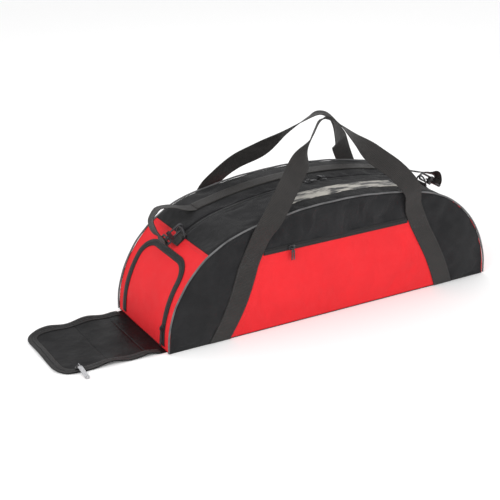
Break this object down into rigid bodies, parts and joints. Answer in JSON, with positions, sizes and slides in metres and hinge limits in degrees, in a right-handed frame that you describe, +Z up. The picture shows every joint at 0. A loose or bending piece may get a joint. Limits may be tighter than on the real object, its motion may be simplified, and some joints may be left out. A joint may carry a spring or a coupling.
{
  "type": "hockey equipment bag",
  "caption": "Long arched sports duffel with a zipped top, an end pocket flap laid open, a zipped side pocket, a shoulder strap and carry handles.",
  "frame": {"origin": "centre of the bag's base on the floor", "axes": "+X along the bag away from the open end flap, -Y towards the zipped side pocket, +Z up"},
  "size_m": [1.178, 0.3126, 0.473],
  "materials": {
    "black_fabric": "woven polyester",
    "red_fabric": "woven polyester",
    "board": "sheet",
    "lining": "plain",
    "coated_fabric": "coated, glossy inside",
    "piping": "reflective sleeve",
    "trim_patch": "smooth",
    "bright_metal": "plated",
    "dark_metal": "black",
    "coil": "coil",
    "zip_tape": "woven tape",
    "hardware": "moulded",
    "webbing": "ribbed webbing"
  },
  "bodies": {
    "bag": {"bottom_panel": "black_fabric", "base_board": "board", "front_panel_left": "black_fabric", "front_panel_right": "black_fabric", "front_pocket_lower": "red_fabric", "front_pocket_upper": "black_fabric", "back_panel_left": "black_fabric", "back_panel_right": "black_fabric", "back_panel_centre": "red_fabric", "front_pocket_lining": "lining", "gusset_left_end": "red_fabric", "gusset_right_end": "red_fabric", "gusset_top_front": "black_fabric", "gusset_top_back": "black_fabric", "main_zip_tape": "zip_tape", "main_zip_coil": "coil", "zip_end_tabs": "webbing", "top_trim_patch": "trim_patch", "piping_front": "piping", "piping_back": "piping", "end_zip_tape": "zip_tape", "pocket_zip_tape": "zip_tape", "pocket_zip_coil": "coil", "front_strap_left": "webbing", "back_strap_left": "webbing", "front_strap_right": "webbing", "back_strap_right": "webbing", "shoulder_strap": "webbing", "strap_adjuster": "hardware", "ring_tab_left": "webbing", "ring_tab_right": "webbing", "strap_slack_left": "webbing", "strap_slack_right": "webbing"},
    "flap_inner": {"flap_inner": "coated_fabric", "flap_tape_inner": "zip_tape"},
    "flap_middle": {"flap_middle": "coated_fabric", "flap_tape_middle": "zip_tape"},
    "flap_outer": {"flap_outer": "coated_fabric", "flap_tape_outer": "zip_tape"},
    "main_slider_left": {"main_slider_left": "dark_metal"},
    "main_pull_left": {"main_pull_left": "dark_metal"},
    "main_slider_right": {"main_slider_right": "dark_metal"},
    "main_pull_right": {"main_pull_right": "dark_metal"},
    "pocket_slider": {"pocket_slider": "dark_metal"},
    "pocket_pull": {"pocket_pull": "dark_metal"},
    "end_slider": {"end_slider": "dark_metal"},
    "end_pull": {"end_pull": "dark_metal"},
    "flap_slider": {"flap_slider": "bright_metal"},
    "flap_pull": {"flap_pull": "bright_metal"},
    "front_handle": {"front_handle": "webbing"},
    "back_handle": {"back_handle": "webbing"},
    "d_ring_left": {"d_ring_left": "hardware"},
    "snap_hook_left": {"snap_hook_left": "hardware"},
    "hook_gate_left": {"hook_gate_left": "hardware"},
    "hook_swivel_left": {"hook_swivel_left": "hardware"},
    "d_ring_right": {"d_ring_right": "hardware"},
    "snap_hook_right": {"snap_hook_right": "hardware"},
    "hook_gate_right": {"hook_gate_right": "hardware"},
    "hook_swivel_right": {"hook_swivel_right": "hardware"}
  },
  "joints": [
    {"name": "flap_fold", "type": "hinge", "parent": "bag", "child": "flap_inner", "pos_m": [-0.471, 0, 0.002], "axis": [0, 1, 0], "range_deg": [0, 84]},
    {"name": "flap_bend_middle", "type": "hinge", "parent": "flap_inner", "child": "flap_middle", "pos_m": [-0.53604, 0, 0.0033], "axis": [0, 1, 0], "range_deg": [0, 24.5]},
    {"name": "flap_bend_outer", "type": "hinge", "parent": "flap_middle", "child": "flap_outer", "pos_m": [-0.65252, 0, 0.0033], "axis": [0, 1, 0], "range_deg": [0, 24.5]},
    {"name": "main_slider_left_travel", "type": "hinge", "parent": "bag", "child": "main_slider_left", "pos_m": [0, 0, -0.86102], "axis": [0, 1, 0], "range_deg": [-12, 0]},
    {"name": "main_pull_left_lift", "type": "hinge", "parent": "main_slider_left", "child": "main_pull_left", "pos_m": [0.00201, 0, 0.29742], "axis": [0, -1, 0], "range_deg": [0, 150]},
    {"name": "main_slider_right_travel", "type": "hinge", "parent": "bag", "child": "main_slider_right", "pos_m": [0, 0, -0.86102], "axis": [0, 1, 0], "range_deg": [0, 9.9]},
    {"name": "main_pull_right_lift", "type": "hinge", "parent": "main_slider_right", "child": "main_pull_right", "pos_m": [0.04635, 0, 0.29988], "axis": [0.9992, 0, -0.0399], "range_deg": [0, 120]},
    {"name": "pocket_slider_travel", "type": "slide", "parent": "bag", "child": "pocket_slider", "axis": [1, 0, 0], "range_m": [0, 0.32]},
    {"name": "pocket_pull_lift", "type": "hinge", "parent": "pocket_slider", "child": "pocket_pull", "pos_m": [-0.131, -0.1504, 0.2], "axis": [-1, 0, 0], "range_deg": [0, 110]},
    {"name": "end_slider_travel", "type": "hinge", "parent": "bag", "child": "end_slider", "pos_m": [-0.197, 0, 0.01], "axis": [0, 1, 0], "range_deg": [0, 17]},
    {"name": "end_pull_lift", "type": "hinge", "parent": "end_slider", "child": "end_pull", "pos_m": [-0.45967, -0.107, 0.05396], "axis": [0, -1, 0], "range_deg": [-150, 0]},
    {"name": "flap_slider_travel", "type": "slide", "parent": "flap_outer", "child": "flap_slider", "axis": [1, 0, 0], "range_m": [-0.014, 0]},
    {"name": "flap_pull_lift", "type": "hinge", "parent": "flap_slider", "child": "flap_pull", "pos_m": [-0.664, -0.103, 0.0117], "axis": [1, 0, 0], "range_deg": [-150, 0]},
    {"name": "front_handle_swing", "type": "hinge", "parent": "bag", "child": "front_handle", "pos_m": [0, -0.1435, 0.212], "axis": [1, 0, 0], "range_deg": [0, 145]},
    {"name": "back_handle_swing", "type": "hinge", "parent": "bag", "child": "back_handle", "pos_m": [0, 0.1435, 0.212], "axis": [1, 0, 0], "range_deg": [-145, 0]},
    {"name": "ring_swing_left", "type": "hinge", "parent": "bag", "child": "d_ring_left", "pos_m": [-0.35066, 0, 0.22664], "axis": [0, 1, 0], "range_deg": [-12, 8], "deforming": ["strap_slack_left"]},
    {"name": "hook_swing_left", "type": "hinge", "parent": "d_ring_left", "child": "snap_hook_left", "pos_m": [-0.35066, 0, 0.24663], "axis": [0, 1, 0], "range_deg": [-5, 20]},
    {"name": "gate_open_left", "type": "hinge", "parent": "snap_hook_left", "child": "hook_gate_left", "pos_m": [-0.38136, 0, 0.23689], "axis": [0, 1, 0], "range_deg": [0, 20], "stiffness_Nm_per_rad": 0.0005, "springref_deg": -11.46},
    {"name": "swivel_turn_left", "type": "hinge", "parent": "snap_hook_left", "child": "hook_swivel_left", "pos_m": [-0.35304, 0, 0.24515], "axis": [-0.848, 0, -0.5299], "range_deg": [-30, 30]},
    {"name": "ring_swing_right", "type": "hinge", "parent": "bag", "child": "d_ring_right", "pos_m": [0.35066, 0, 0.22664], "axis": [0, 1, 0], "range_deg": [-8, 12], "deforming": ["strap_slack_right"]},
    {"name": "hook_swing_right", "type": "hinge", "parent": "d_ring_right", "child": "snap_hook_right", "pos_m": [0.35066, 0, 0.24663], "axis": [0, 1, 0], "range_deg": [-20, 5]},
    {"name": "gate_open_right", "type": "hinge", "parent": "snap_hook_right", "child": "hook_gate_right", "pos_m": [0.37288, 0, 0.22332], "axis": [0, 1, 0], "range_deg": [0, 20], "stiffness_Nm_per_rad": 0.0005, "springref_deg": -11.46},
    {"name": "swivel_turn_right", "type": "hinge", "parent": "snap_hook_right", "child": "hook_swivel_right", "pos_m": [0.35304, 0, 0.24515], "axis": [0.848, 0, -0.5299], "range_deg": [-30, 30]}
  ],
  "couplings": [
    {"joint": "flap_bend_middle", "follows": "flap_fold", "ratio": 0.28571},
    {"joint": "flap_bend_outer", "follows": "flap_fold", "ratio": 0.28571}
  ]
}
